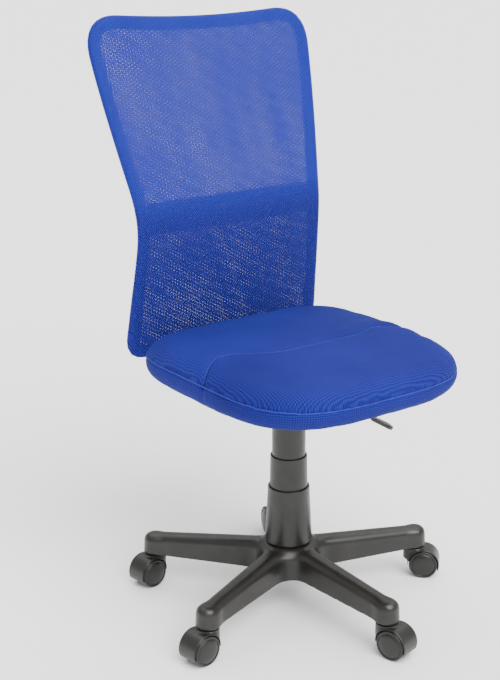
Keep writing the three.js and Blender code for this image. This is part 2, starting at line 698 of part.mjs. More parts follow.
// The lumbar bar across the frame, which ends just short of both side rails.
function crossBrace() {
  const [count, halfDepth] = [6, 3];
  const rings = [];
  for (const side of [-1, 1]) {
    const ring = [];
    for (let i = 0; i <= count; i++) {
      const height = BRACE_HEIGHT_ABOVE_FLOOR - BRACE_HALF_HEIGHT + 2 * BRACE_HALF_HEIGHT * i / count;
      ring.push(onBack(side * (BACK_WAIST_HALF_WIDTH - FRAME_HALF_WIDTH - 1.5), height, -halfDepth));
    }
    for (let i = count; i >= 0; i--) {
      const height = BRACE_HEIGHT_ABOVE_FLOOR - BRACE_HALF_HEIGHT + 2 * BRACE_HALF_HEIGHT * i / count;
      ring.push(onBack(side * (BACK_WAIST_HALF_WIDTH - FRAME_HALF_WIDTH - 1.5), height, halfDepth));
    }
    rings.push(ring);
  }
  return loft(rings);
}
addPart('cross_brace', crossBrace(), materials.blackPlastic);

// The sleeve's right-hand edge from its bottom row to its top row, as [x, z] corners.
function sleeveEdge(low) {
  const margin = FRAME_HALF_WIDTH + 1;
  const path = frameHalfPath();
  const edge = [];
  for (let i = 1; i < 30; i++) {
    const point = path.getPointAt(i / 30);
    const along = path.getTangentAt(i / 30);
    const x = point.x + margin * along.y;
    const z = point.y - margin * along.x;
    if (point.x > 143 && z > low) edge.push([x, z]);
  }
  const first = edge[0];
  return first[1] - low > 2 ? [[first[0], low], ...edge] : edge;
}

// One side of the mesh sleeve: a thin skin that follows the back just clear of the frame.
function meshSheet(side, low) {
  const near = side * (FRAME_HALF_DEPTH + CLEARANCE);
  const far = side * (FRAME_HALF_DEPTH + CLEARANCE + SHEET_THICKNESS);
  const columns = [-1, -0.5, 0, 0.5, 1];
  const rings = sleeveEdge(low).map(([half, height]) => {
    const dip = BACK_TOP_DIP * THREE.MathUtils.smoothstep(height, BACK_TOP - 90, BACK_TOP + 5);
    const row = (offset) => columns.map((u) => onBack(u * half, height - dip * (1 - u * u), offset));
    return [...row(near), ...row(far).reverse()];
  });
  return loft(rings);
}
addPart('mesh_front', meshSheet(-1, BACK_BOTTOM - FRAME_HALF_WIDTH - 1), materials.meshFabric);

// The rear sheet stops above the bracket's bolting area.
addPart('mesh_rear', meshSheet(1, BACK_BOTTOM + 14), materials.meshFabric);

// ---------------------------------------------------------------- bracket between seat and back
// Centreline of the bent flat bar in side view, as [y, z]: along under the seat, then up the back.
function bracketPath() {
  const bend = 14;
  const level = BOARD_BOTTOM - CLEARANCE - BRACKET_THICKNESS / 2;
  const offset = FRAME_HALF_DEPTH + CLEARANCE + BRACKET_THICKNESS / 2;
  const corner = onBack(0, level, offset);
  const rise = onBack(0, level + bend, offset);
  const top = onBack(0, BACK_BOTTOM + 11, offset);
  const path = new THREE.Path();
  path.moveTo(78, level);
  path.lineTo(corner.y - bend, level);
  path.quadraticCurveTo(corner.y, level, rise.y, rise.z);
  path.lineTo(top.y, top.z);
  return path;
}

function bracket() {
  const path = bracketPath();
  const steps = [0, 0.3, 0.5, 0.56, 0.6, 0.64, 0.68, 0.72, 0.78, 1];
  const ring = [];
  for (const side of [1, -1]) {
    const ordered = side === 1 ? steps : [...steps].reverse();
    for (const step of ordered) {
      const point = path.getPointAt(step);
      const along = path.getTangentAt(step);
      ring.push([point.x - side * along.y * BRACKET_THICKNESS / 2, point.y + side * along.x * BRACKET_THICKNESS / 2]);
    }
  }
  const rings = [-BRACKET_HALF_WIDTH, BRACKET_HALF_WIDTH].map((x) => ring.map(([y, z]) => new THREE.Vector3(x, y, z)));
  const seatHoles = holesAt(bracketSeatBolts, BOARD_BOTTOM - 15, BOARD_BOTTOM + 5);
  const backHoles = bracketBackBolts.map(([x, z]) => backwardsCylinder(boltShank + 0.4, 0, 30, x, z));
  return combine(loft(rings), [], [...seatHoles, ...backHoles]);
}
addPart('j_bracket', bracket(), materials.blackSteel);

const bracketUnderside = BOARD_BOTTOM - CLEARANCE - BRACKET_THICKNESS;
const bracketBolt = bolt(6.5, 4, BOARD_TOP - bracketUnderside - 1);
bracketSeatBolts.forEach(([x, y], i) => {
  const placed = moved(bracketBolt, x, y, bracketUnderside - CLEARANCE - 4);
  addPart(`bracket_seat_bolt_${i + 1}`, placed, materials.steel);
});

// The bolts that hold the back run forward from the bracket into the frame.
const backBoltHead = FRAME_HALF_DEPTH + 2 * CLEARANCE + BRACKET_THICKNESS + 4;
bracketBackBolts.forEach(([x, z], i) => {
  const shaft = bolt(6.5, 4, backBoltHead - 4 + 3);
  const forwards = backNormal(z).negate();
  shaft.applyQuaternion(new THREE.Quaternion().setFromUnitVectors(new THREE.Vector3(0, 0, 1), forwards));
  const place = onBack(x, z, backBoltHead);
  addPart(`bracket_back_bolt_${i + 1}`, moved(shaft, place.x, place.y, place.z), materials.steel);
});

export default chair;
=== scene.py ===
"""Looks for the swivel office chair: fabric, padding, moulded plastic, camera and light.

Metres, +Z up, the sitter faces -Y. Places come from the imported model's own boxes where they can;
the back's outline, the covers' and the castors' sections repeat the solid model's dimensions.
"""
import json
import math

import bmesh
import bpy
import numpy as np
from mathutils import Matrix, Vector
from mathutils.bvhtree import BVHTree


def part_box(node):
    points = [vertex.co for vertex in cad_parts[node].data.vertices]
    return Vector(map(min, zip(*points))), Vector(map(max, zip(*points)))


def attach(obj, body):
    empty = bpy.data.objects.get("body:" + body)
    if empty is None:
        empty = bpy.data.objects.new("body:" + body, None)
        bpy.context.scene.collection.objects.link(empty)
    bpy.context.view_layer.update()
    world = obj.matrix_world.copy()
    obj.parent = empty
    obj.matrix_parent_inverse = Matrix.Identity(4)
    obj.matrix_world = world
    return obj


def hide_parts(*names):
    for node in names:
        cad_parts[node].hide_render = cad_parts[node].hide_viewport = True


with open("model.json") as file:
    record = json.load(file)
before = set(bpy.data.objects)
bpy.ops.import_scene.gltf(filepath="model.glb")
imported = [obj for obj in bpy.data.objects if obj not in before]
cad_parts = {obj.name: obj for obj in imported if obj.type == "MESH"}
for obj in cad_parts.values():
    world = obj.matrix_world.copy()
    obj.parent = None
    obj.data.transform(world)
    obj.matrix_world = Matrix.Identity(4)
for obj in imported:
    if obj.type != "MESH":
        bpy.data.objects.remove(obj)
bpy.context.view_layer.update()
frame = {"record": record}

MM = 0.001


# ---------------------------------------------------------------- places taken from the frame
def box_middle(node):
    low, high = (Vector(corner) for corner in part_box(node))
    return (low + high) / 2


COLUMN = box_middle("outer_tube")
COLUMN.z = 0.0
CUSHION_LOW, CUSHION_HIGH = (Vector(corner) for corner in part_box("seat_cushion"))
BACK_LOW, BACK_HIGH = (Vector(corner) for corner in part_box("back_frame"))
JOINTS = {joint["name"]: joint for joint in frame["record"]["behaviour"]["joints"]}


# ---------------------------------------------------------------- camera
CAMERA_AZIMUTH = math.radians(-36.0)
CAMERA_ELEVATION = math.radians(17.15)
CAMERA_DISTANCE = 2.16
CAMERA_SIDESTEP = -0.0634
CAMERA_TARGET_HEIGHT = 0.4615
CAMERA_ROLL = math.radians(-0.33)
CAMERA_LENS = 70.57
CAMERA_SENSOR = 36.0


def add_camera():
    target = COLUMN + Vector((0, 0, CAMERA_TARGET_HEIGHT))
    level = math.cos(CAMERA_ELEVATION)
    away = Vector((
        math.sin(CAMERA_AZIMUTH) * level,
        -math.cos(CAMERA_AZIMUTH) * level,
        math.sin(CAMERA_ELEVATION),
    ))
    place = target + away * CAMERA_DISTANCE
    forward = -away
    right = forward.cross(Vector((0, 0, 1))).normalized()
    up = right.cross(forward)
    place += right * CAMERA_SIDESTEP
    rolled_right = right * math.cos(CAMERA_ROLL) + up * math.sin(CAMERA_ROLL)
    rolled_up = up * math.cos(CAMERA_ROLL) - right * math.sin(CAMERA_ROLL)
    data = bpy.data.cameras.new("camera")
    data.lens = CAMERA_LENS
    data.sensor_width = CAMERA_SENSOR
    camera = bpy.data.objects.new("camera", data)
    turn = Matrix((rolled_right, rolled_up, -forward)).transposed()
    camera.matrix_world = Matrix.Translation(place) @ turn.to_4x4()
    bpy.context.scene.collection.objects.link(camera)
    bpy.context.scene.camera = camera


# ---------------------------------------------------------------- mesh helpers
def link(name, mesh):
    piece = bpy.data.objects.new(name, mesh)
    bpy.context.scene.collection.objects.link(piece)
    return piece


def mesh_from(name, points, faces, smooth=True):
    mesh = bpy.data.meshes.new(name)
    mesh.from_pydata([tuple(p) for p in points], [], faces)
    mesh.update()
    work = bmesh.new()
    work.from_mesh(mesh)
    bmesh.ops.remove_doubles(work, verts=work.verts, dist=1e-7)
    bmesh.ops.recalc_face_normals(work, faces=work.faces)
    work.to_mesh(mesh)
    work.free()
    if smooth:
        mesh.shade_smooth()
    return mesh


def bake_modifiers(piece):
    """Give the piece the mesh that its modifiers make, and leave no modifier on it."""
    shown = piece.evaluated_get(bpy.context.evaluated_depsgraph_get())
    mesh = bpy.data.meshes.new_from_object(shown)
    piece.modifiers.clear()
    piece.data = mesh
    return piece


def remeshed(piece, voxel):
    step = piece.modifiers.new("remesh", "REMESH")
    step.mode = "VOXEL"
    step.voxel_size = voxel
    step.use_smooth_shade = True
    return bake_modifiers(piece)


def smoothed(piece, times, factor=0.5):
    step = piece.modifiers.new("smooth", "SMOOTH")
    step.iterations = times
    step.factor = factor
    return bake_modifiers(piece)


def crease_by_angle(piece, degrees=32):
    """Smooth shading, kept sharp where faces meet at more than the angle."""
    mesh = piece.data
    mesh.shade_smooth()
    work = bmesh.new()
    work.from_mesh(mesh)
    limit = math.radians(degrees)
    for edge in work.edges:
        edge.smooth = len(edge.link_faces) == 2 and edge.calc_face_angle(0) < limit
    work.to_mesh(mesh)
    work.free()
    return piece


def arc(centre, radius, start, end, steps):
    """Points on a circle in a profile, from one angle to another in degrees."""
    return [
        (
            centre[0] + radius * math.cos(math.radians(start + (end - start) * i / steps)),
            centre[1] + radius * math.sin(math.radians(start + (end - start) * i / steps)),
        )
        for i in range(steps + 1)
    ]


def turned(name, profile, segments=72, closed=False):
    """Turn a profile of (radius, height) corners about Z."""
    points = []
    for radius, height in profile:
        for k in range(segments):
            angle = 2 * math.pi * k / segments
            points.append((radius * math.cos(angle), radius * math.sin(angle), height))
    faces = []
    rows = len(profile)
    for row in range(rows if closed else rows - 1):
        below, above = row * segments, (row + 1) % rows * segments
        for k in range(segments):
            after = (k + 1) % segments
            faces.append((below + k, below + after, above + after, above + k))
    return mesh_from(name, points, faces)


def lofted(name, rings, loop=False):
    """Join equal rings of points, with flat ends unless the rings go round in a loop."""
    count = len(rings[0])
    points = [point for ring in rings for point in ring]
    faces = []
    for row in range(len(rings) if loop else len(rings) - 1):
        below, above = row * count, (row + 1) % len(rings) * count
        for k in range(count):
            after = (k + 1) % count
            faces.append((below + k, below + after, above + after, above + k))
    if not loop:
        faces.append(tuple(range(count)))
        faces.append(tuple(range(len(points) - count, len(points))))
    return mesh_from(name, points, faces)


def joined(name, meshes):
    """One mesh holding several."""
    work = bmesh.new()
    for mesh in meshes:
        work.from_mesh(mesh)
    whole = bpy.data.meshes.new(name)
    work.to_mesh(whole)
    work.free()
    return whole


def swept(name, path, radius, sides=8, closed=False):
    """A round tube along points."""
    rings = []
    total = len(path)
    for i, point in enumerate(path):
        before = path[(i - 1) % total] if closed or i else path[i]
        after = path[(i + 1) % total] if closed or i < total - 1 else path[i]
        along = (after - before).normalized()
        side = along.cross(Vector((0, 0, 1)))
        if side.length < 0.01:
            side = along.cross(Vector((0, 1, 0)))
        side.normalize()
        rise = side.cross(along)
        turns = [2 * math.pi * k / sides for k in range(sides)]
        rings.append([
            point + radius * (side * math.cos(turn) + rise * math.sin(turn)) for turn in turns
        ])
    return lofted(name, rings, loop=closed)


def surface_nets(name, field, low, high, step):
    """Mesh where a field of signed distances is zero, with one point in each cell that it crosses."""
    axes = [np.arange(start, end + step, step) for start, end in zip(low, high)]
    values = field(*np.meshgrid(*axes, indexing="ij"))
    strides = np.array([values.shape[1] * values.shape[2], values.shape[2], 1])
    cells, places, quads = [], [], []
    for axis in range(3):
        first, second = [slice(None)] * 3, [slice(None)] * 3
        first[axis], second[axis] = slice(0, -1), slice(1, None)
        a, b = values[tuple(first)], values[tuple(second)]
        found = np.argwhere((a < 0) != (b < 0))
        start, end = a[tuple(found.T)], b[tuple(found.T)]
        crossing = found.astype(float)
        crossing[:, axis] += start / (start - end)
        u, v = [k for k in range(3) if k != axis]
        ring = []
        for du, dv in ((0, 0), (1, 0), (1, 1), (0, 1)):
            cell = found.copy()
            cell[:, u] -= du
            cell[:, v] -= dv
            ring.append(cell @ strides)
            cells.append(ring[-1])
            places.append(crossing)
        quads.append(np.stack(ring, axis=1))
    used, slots = np.unique(np.concatenate(cells), return_inverse=True)
    total = np.zeros((len(used), 3))
    np.add.at(total, slots, np.concatenate(places))
    points = np.array(low) + total / np.bincount(slots)[:, None] * step
    faces = np.searchsorted(used, np.concatenate(quads))
    return mesh_from(name, points.tolist(), faces.tolist())


def smooth_union(a, b, reach):
    """The nearer of two distances, with a fillet where they are alike."""
    near = np.maximum(reach - np.abs(a - b), 0) / reach
    return np.minimum(a, b) - near * near * reach / 4


def rounded_top(plan, depth, radius):
    """Distance to a solid with a round upper edge, from the distance in plan and the depth below its top."""
    out, up = plan + radius, radius - depth
    return np.minimum(np.maximum(out, up), 0) + np.hypot(np.maximum(out, 0), np.maximum(up, 0)) - radius


def finish_piece(piece, body, material, replaces=()):
    piece.data.materials.clear()
    piece.data.materials.append(material)
    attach(piece, body)
    if replaces:
        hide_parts(*replaces)
    return piece


# ---------------------------------------------------------------- material helpers
class Nodes:
    """A short way to write a material's node tree."""

    def __init__(self, name):
        self.material = bpy.data.materials.new(name)
        self.material.use_nodes = True
        self.tree = self.material.node_tree
        self.shader = next(n for n in self.tree.nodes if n.type == "BSDF_PRINCIPLED")
        self.place = self.add("ShaderNodeTexCoord").outputs["Object"]

    def add(self, kind, **settings):
        node = self.tree.nodes.new(kind)
        for key, value in settings.items():
            setattr(node, key, value)
        return node

    def feed(self, socket, value):
        if isinstance(value, bpy.types.NodeSocket):
            self.tree.links.new(value, socket)
        else:
            socket.default_value = value

    def math(self, operation, first, second=0.0, third=0.0, clamp=False):
        node = self.add("ShaderNodeMath", operation=operation, use_clamp=clamp)
        for socket, value in zip(node.inputs, (first, second, third)):
            self.feed(socket, value)
        return node.outputs[0]

    def ramp(self, value, low, high, to_low=0.0, to_high=1.0):
        node = self.add("ShaderNodeMapRange", interpolation_type="SMOOTHSTEP")
        for socket, number in zip(node.inputs, (value, low, high, to_low, to_high)):
            self.feed(socket, number)
        return node.outputs[0]

    def noise(self, scale, detail=2.0, roughness=0.5, place=None):
        node = self.add("ShaderNodeTexNoise")
        self.feed(node.inputs["Vector"], place or self.place)
        node.inputs["Scale"].default_value = scale
        node.inputs["Detail"].default_value = detail
        node.inputs["Roughness"].default_value = roughness
        return node.outputs["Fac"]

    def blend(self, factor, first, second):
        node = self.add("ShaderNodeMix", data_type="RGBA")
        self.feed(node.inputs[0], factor)
        for socket, value in zip((node.inputs[6], node.inputs[7]), (first, second)):
            self.feed(socket, (*value, 1.0) if isinstance(value, tuple) else value)
        return node.outputs[2]

    def split(self, vector):
        node = self.add("ShaderNodeSeparateXYZ")
        self.feed(node.inputs[0], vector)
        return node.outputs[0], node.outputs[1], node.outputs[2]

    def bump(self, height, distance, strength=1.0, normal=None):
        node = self.add("ShaderNodeBump")
        node.inputs["Strength"].default_value = strength
        node.inputs["Distance"].default_value = distance
        self.feed(node.inputs["Height"], height)
        if normal is not None:
            self.feed(node.inputs["Normal"], normal)
        return node.outputs["Normal"]

    def set(self, **values):
        for key, value in values.items():
            name = key.replace("_", " ")
            if isinstance(value, tuple) and len(value) == 3:
                value = (*value, 1.0)
            self.feed(self.shader.inputs[name], value)


def plastic(name, colour, lighter, roughness, grain=1.0):
    """Moulded plastic: soft mottling, fine spark-eroded grain and paler worn edges."""
    n = Nodes(name)
    mottle = n.ramp(n.noise(18.0, 3.0), 0.35, 0.7)
    base = n.blend(mottle, colour, lighter)
    edge = n.add("ShaderNodeNewGeometry").outputs["Pointiness"]
    wear = n.math("MULTIPLY", n.ramp(edge, 0.53, 0.62), n.ramp(n.noise(60.0, 4.0), 0.35, 0.65))
    worn = tuple(min(1.0, channel * 2.2) for channel in lighter)
    n.set(Base_Color=n.blend(n.math("MULTIPLY", wear, 0.5), base, worn))
    fine = n.noise(1400.0, 2.0, 0.6)
    n.set(Roughness=n.ramp(n.noise(90.0, 3.0), 0.2, 0.8, roughness - 0.05, roughness + 0.07))
    n.set(Normal=n.bump(fine, 0.00012 * grain, 0.35))
    n.shader.inputs["Specular IOR Level"].default_value = 0.42
    return n.material


def metal(name, colour, roughness, streak=0.0):
    """Plated or painted steel with faint scratches and dust."""
    n = Nodes(name)
    x, y, z = n.split(n.place)
    stretched = n.add("ShaderNodeCombineXYZ")
    n.feed(stretched.inputs[0], x)
    n.feed(stretched.inputs[1], y)
    n.feed(stretched.inputs[2], n.math("MULTIPLY", z, 0.04 if streak else 1.0))
    scratches = n.noise(900.0, 3.0, 0.6, stretched.outputs[0])
    dull = tuple(channel * 0.78 for channel in colour)
    n.set(Base_Color=n.blend(n.ramp(n.noise(35.0, 4.0), 0.3, 0.75), colour, dull))
    n.set(Roughness=n.ramp(scratches, 0.25, 0.75, roughness - 0.06, roughness + 0.1))
    n.shader.inputs["Metallic"].default_value = 1.0
    n.set(Normal=n.bump(scratches, 0.00005, 0.3))
    return n.material


def plywood():
    """Rotary-cut ply: long wavy grain on the faces and dark glue lines on the edge."""
    n = Nodes("plywood")
    _, y, z = n.split(n.place)
    waver = n.noise(9.0, 3.0)
    rings = n.math("SINE", n.math("MULTIPLY_ADD", waver, 26.0, n.math("MULTIPLY", y, 190.0)))
    pale, deep = (0.46, 0.27, 0.12), (0.3, 0.155, 0.06)
    face = n.blend(n.ramp(rings, -1.0, 1.0, 0.0, 0.6), pale, deep)
    plies = n.math("SINE", n.math("MULTIPLY", z, 2 * math.pi / (2.3 * MM)))
    n.set(Base_Color=n.blend(n.ramp(plies, 0.75, 1.0, 0.0, 0.55), face, (0.12, 0.06, 0.03)))
    n.set(Roughness=n.ramp(rings, -1.0, 1.0, 0.62, 0.78))
    n.set(Normal=n.bump(n.noise(500.0, 3.0), 0.0002, 0.4))
    return n.material


def lattice(n, pitch, place):
    """Rows of small cells in the first two directions of a place."""
    x, y, _ = n.split(place)
    x = n.math("MULTIPLY_ADD", n.noise(55.0, 2.0), 0.005, x)
    y = n.math("MULTIPLY_ADD", n.noise(48.0, 2.0), 0.005, y)
    turn = math.pi / pitch
    first = n.math("SINE", n.math("MULTIPLY", n.math("ADD", x, y), turn))
    second = n.math("SINE", n.math("MULTIPLY", n.math("SUBTRACT", x, y), turn))
    return n.math("MULTIPLY", first, second)


def spacer_fabric(name, deep, light, pitch, relief=1.0, contrast=0.6, laid=False):
    """Woven air mesh on foam: a diamond lattice of raised cells with dark holes between them."""
    n = Nodes(name)
    if laid:
        place = n.add("ShaderNodeAttribute", attribute_name="weave").outputs["Vector"]
    else:
        turn = n.add("ShaderNodeMapping")
        n.feed(turn.inputs["Vector"], n.place)
        turn.inputs["Rotation"].default_value = (0.9, 0.35, 0.2)
        place = turn.outputs[0]
    height = n.ramp(lattice(n, pitch, place), -0.7, 0.8)
    threads = n.noise(2600.0, 2.0)
    tone = n.ramp(n.noise(6.0, 3.0), 0.3, 0.7, 0.0, 0.2)
    ground = n.math("MULTIPLY_ADD", threads, 0.2, 0.5 * (1 - contrast))
    rows = n.math("MULTIPLY_ADD", height, contrast, ground)
    n.set(Base_Color=n.blend(n.math("SUBTRACT", rows, tone, clamp=True), deep, light))
    n.set(Roughness=n.ramp(height, 0.0, 1.0, 0.9, 0.7))
    n.shader.inputs["Specular IOR Level"].default_value = 0.1
    n.shader.inputs["Sheen Weight"].default_value = 0.03
    n.shader.inputs["Sheen Roughness"].default_value = 0.5
    n.shader.inputs["Sheen Tint"].default_value = (0.2, 0.35, 1.0, 1.0)
    coarse = n.bump(height, 0.0006 * relief, 0.8)
    n.set(Normal=n.bump(threads, 0.00015, 0.3, coarse))
    return n.material


def open_mesh(name, pitch, lean, openness, lower_openness):
    """Knitted mesh that lets light through: slanting rows of slots between threads.

    The rows close and open in soft patches, and the panel below the waist is knitted closer. Its colours are
    also a darker copy of the upper panel's: painted shade, since that panel faces down and away from the
    light from above.
    """
    n = Nodes(name)
    x, _, z = n.split(n.place)
    waver = n.math("MULTIPLY", n.noise(5.0, 2.0), 0.004)
    sideways = n.math("MULTIPLY_ADD", x, math.sin(lean), waver)
    along = n.math("ADD", sideways, n.math("MULTIPLY", z, -math.cos(lean)))
    across = n.math("ADD", n.math("MULTIPLY", x, math.cos(lean)), n.math("MULTIPLY", z, math.sin(lean)))
    turn = 2 * math.pi / pitch
    rows = n.math("SINE", n.math("MULTIPLY", along, turn))
    steps = n.math("SINE", n.math("MULTIPLY", across, turn * 0.55))
    knit = n.math("MULTIPLY_ADD", steps, 0.5, rows)
    skew = n.add("ShaderNodeCombineXYZ")
    # upper: 1 above the waist and 0 below it; it opens the knit and also picks the upper colours over the
    # darker painted-shade colours of the lower panel
    upper = n.ramp(z, WAIST_HEIGHT - 0.01, WAIST_HEIGHT + 0.05)
    n.feed(skew.inputs[0], n.math("MULTIPLY_ADD", z, n.ramp(upper, 0.0, 1.0, 0.5, 0.12), x))
    n.feed(skew.inputs[2], n.math("MULTIPLY", z, 0.25))
    patches = n.ramp(n.noise(30.0, 3.0, 0.55, skew.outputs[0]), 0.32, 0.68, -0.2, 0.2)
    closed = n.ramp(upper, 0.0, 1.0, -lower_openness, -openness)
    level = n.math("ADD", closed, patches)
    gap = n.math("SUBTRACT", knit, level)
    solid = n.ramp(gap, -1.7, -0.35, 0.14, 1.0)
    threads = n.noise(2400.0, 2.0)
    shade = n.math("MULTIPLY_ADD", rows, 0.3, n.math("MULTIPLY_ADD", threads, 0.25, 0.3))
    # knit colours below the waist (low) are darker than above it (high): painted shade on the lower panel,
    # which faces down and away from the light
    low = n.blend(n.math("ADD", shade, 0.0, clamp=True), (0.006, 0.008, 0.11), (0.023, 0.028, 0.29))
    high = n.blend(n.math("ADD", shade, 0.0, clamp=True), (0.008, 0.012, 0.16), (0.027, 0.042, 0.42))
    n.set(Base_Color=n.blend(upper, low, high))
    n.set(Roughness=n.ramp(rows, -1.0, 1.0, 0.6, 0.85))
    n.set(Alpha=solid)
    n.shader.inputs["Specular IOR Level"].default_value = 0.1
    n.shader.inputs["Sheen Weight"].default_value = 0.03
    n.shader.inputs["Sheen Tint"].default_value = (0.2, 0.35, 1.0, 1.0)
    n.set(Normal=n.bump(knit, 0.0003, 0.6))
    return n.material


CHARCOAL = plastic("charcoal_plastic", (0.0085, 0.0085, 0.0072), (0.014, 0.014, 0.012), 0.34)
WHEEL = plastic("wheel_plastic", (0.006, 0.006, 0.0052), (0.01, 0.01, 0.0085), 0.33, 0.6)
BLACK = plastic("black_plastic", (0.01, 0.01, 0.009), (0.018, 0.018, 0.016), 0.42)
STEEL = metal("zinc_steel", (0.4, 0.41, 0.42), 0.34)
CHROME = metal("chromed_steel", (0.58, 0.6, 0.62), 0.16, 1.0)
BLACK_STEEL = plastic("powder_coat", (0.006, 0.006, 0.007), (0.01, 0.01, 0.011), 0.5, 2.5)
PLYWOOD = plywood()
WAIST_HEIGHT = 0.648
SEAT_FABRIC = spacer_fabric(
    "seat_fabric", (0.002, 0.003, 0.05), (0.0165, 0.022, 0.25), 3.7 * MM, 0.1, 0.5, laid=True,
)
PIPING_FABRIC = spacer_fabric("piping_fabric", (0.01, 0.014, 0.15), (0.034, 0.044, 0.36), 1.6 * MM, 0.4)
FRAME_FABRIC = spacer_fabric("frame_fabric", (0.007, 0.009, 0.11), (0.02, 0.024, 0.25), 2.4 * MM, 0.5, 0.3)
MESH_FRONT = open_mesh("mesh_front_knit", 2.9 * MM, math.radians(122), -0.56, -0.5)
MESH_REAR = open_mesh("mesh_rear_knit", 3.1 * MM, math.radians(58), -0.66, -0.42)


# ---------------------------------------------------------------- base
ARM_COUNT = 5
BASE_LOW, BASE_HIGH = (Vector(corner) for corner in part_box("base_star"))
BASE_FLOOR = BASE_LOW.z
HUB_TOP = BASE_HIGH.z
ARM_TIP_TOP = BASE_FLOOR + 35 * MM
ARM_ROOT_TOP = BASE_FLOOR + 50 * MM
ARM_ROOT_AT = 40 * MM
ARM_ROOT_HALF, ARM_TIP_HALF = 18.4 * MM, 14.9 * MM
SOCKET_RADIUS = 15.6 * MM
HUB_RADIUS = 40 * MM
HUB_FILLET = 30 * MM
SIDE_DRAFT = 0.05
BASE_WALL = 4 * MM
HUB_BORE = 25.4 * MM
STEM_BORE = 5.9 * MM
STEMS = [box_middle(f"castor_{i + 1}_stem") for i in range(ARM_COUNT)]
ARM_REACH = (STEMS[0] - COLUMN).xy.length
ARM_ANGLES = [math.atan2((stem - COLUMN).y, (stem - COLUMN).x) for stem in STEMS]


def base_field(x, y, z):
    """Signed distance to the base: five arms that flow into a hub, hollow from below."""
    radius = np.hypot(x, y)
    share = np.clip((radius - ARM_ROOT_AT) / (ARM_REACH - ARM_ROOT_AT), 0, 1)
    half = ARM_ROOT_HALF + (ARM_TIP_HALF - ARM_ROOT_HALF) * share
    plan = radius - HUB_RADIUS
    bores = np.full_like(plan, 1.0)
    for angle in ARM_ANGLES:
        along = x * math.cos(angle) + y * math.sin(angle)
        across = y * math.cos(angle) - x * math.sin(angle)
        beyond = np.maximum(along - ARM_REACH, 0) + np.maximum(-along, 0)
        from_stem = np.hypot(along - ARM_REACH, across)
        arm = smooth_union(np.hypot(beyond, across) - half, from_stem - SOCKET_RADIUS, 12 * MM)
        plan = smooth_union(plan, arm, HUB_FILLET)
        bores = np.minimum(bores, from_stem - STEM_BORE)
    shoulder = np.clip((50 * MM - radius) / (9 * MM), 0, 1)
    shoulder = shoulder * shoulder * (3 - 2 * shoulder)
    top = ARM_ROOT_TOP + (ARM_TIP_TOP - ARM_ROOT_TOP) * share + (HUB_TOP - ARM_ROOT_TOP) * shoulder
    depth = top - z
    outside = rounded_top(plan - SIDE_DRAFT * np.maximum(depth, 0), depth, half * 0.8)
    hollow = np.maximum(outside + BASE_WALL, radius - (ARM_REACH - 22 * MM))
    solid = np.maximum(outside, -hollow)
    sleeve = np.maximum(radius - 30 * MM, z - HUB_TOP + 2 * MM)
    solid = np.minimum(solid, sleeve)
    solid = np.maximum(solid, HUB_BORE - radius)
    solid = np.maximum(solid, -np.maximum(bores, z - ARM_TIP_TOP + 6 * MM))
    return np.maximum(solid, BASE_FLOOR - z)


def base_star():
    reach = ARM_REACH + 26 * MM
    cell = 2 * MM
    low = (-reach, -reach, BASE_FLOOR - 1.37 * cell)
    star = link("base", surface_nets("base", base_field, low, (reach, reach, HUB_TOP + 2 * cell), cell))
    smoothed(star, 2)
    ribs = []
    for angle in ARM_ANGLES:
        for reach in (75, 115, 155, 195):
            half = (15.5 - reach * 0.014) * MM
            rib = lofted("rib", [
                [Vector((x * MM, y, z)) for y, z in (
                    (-half, BASE_FLOOR + 4 * MM), (half, BASE_FLOOR + 4 * MM),
                    (half, BASE_FLOOR + 22 * MM), (-half, BASE_FLOOR + 22 * MM),
                )] for x in (reach - 1.2, reach + 1.2)
            ])
            rib.transform(Matrix.Rotation(angle, 4, "Z"))
            ribs.append(rib)
    star.data = joined("base", [star.data, *ribs])
    star.matrix_world = Matrix.Translation(COLUMN)
    crease_by_angle(star, 50)
    finish_piece(star, "base", CHARCOAL, ["base_star"])


# ---------------------------------------------------------------- castors
WHEEL_RADIUS = 25 * MM
TRAIL = 18 * MM
HOOD_RADIUS = 27.9 * MM
HOOD_HALF = 20 * MM
POCKET_RADIUS = 26.3 * MM
WEB_HALF = 6.5 * MM
NECK_RADIUS = 18.4 * MM
CASTOR_TOP = 54.4 * MM
HOOD_TILT = math.radians(11)
AXLE_PLACE = Matrix.Translation((TRAIL, 0, WHEEL_RADIUS))


def rounded_block(out, up, radius):
    """Distance to a block from how far a point lies outside two of its faces, with a round edge."""
    return rounded_top(out, -up, radius)


def hood_field(x, y, z):
    """Signed distance to a castor's hood: a drum with a neck, open for the wheels and below."""
    from_axle = np.hypot(x - TRAIL, z - WHEEL_RADIUS)
    drum = rounded_block(from_axle - HOOD_RADIUS, np.abs(y) - HOOD_HALF, 2.6 * MM)
    neck = rounded_block(np.hypot(x, y) - NECK_RADIUS, z - CASTOR_TOP, 1.6 * MM)
    neck = np.maximum(neck, WHEEL_RADIUS + 7 * MM - z)
    body = smooth_union(drum, neck, 5 * MM)
    body = np.maximum(body, -np.maximum(from_axle - POCKET_RADIUS, WEB_HALF - np.abs(y)))
    above = (z - WHEEL_RADIUS + 6.3 * MM) * math.cos(HOOD_TILT) + (x - TRAIL) * math.sin(HOOD_TILT)
    body = np.maximum(body, -above)
    return np.minimum(body, np.maximum(from_axle - 9 * MM, np.abs(y) - WEB_HALF))


def hood_mesh():
    low, high = (-22 * MM, -22.3 * MM, 8 * MM), (48 * MM, 22.3 * MM, 58 * MM)
    hood = link("hood", surface_nets("hood", hood_field, low, high, 0.75 * MM))
    smoothed(hood, 1)
    crease_by_angle(hood, 50)
    mesh = hood.data
    bpy.data.objects.remove(hood)
    return mesh


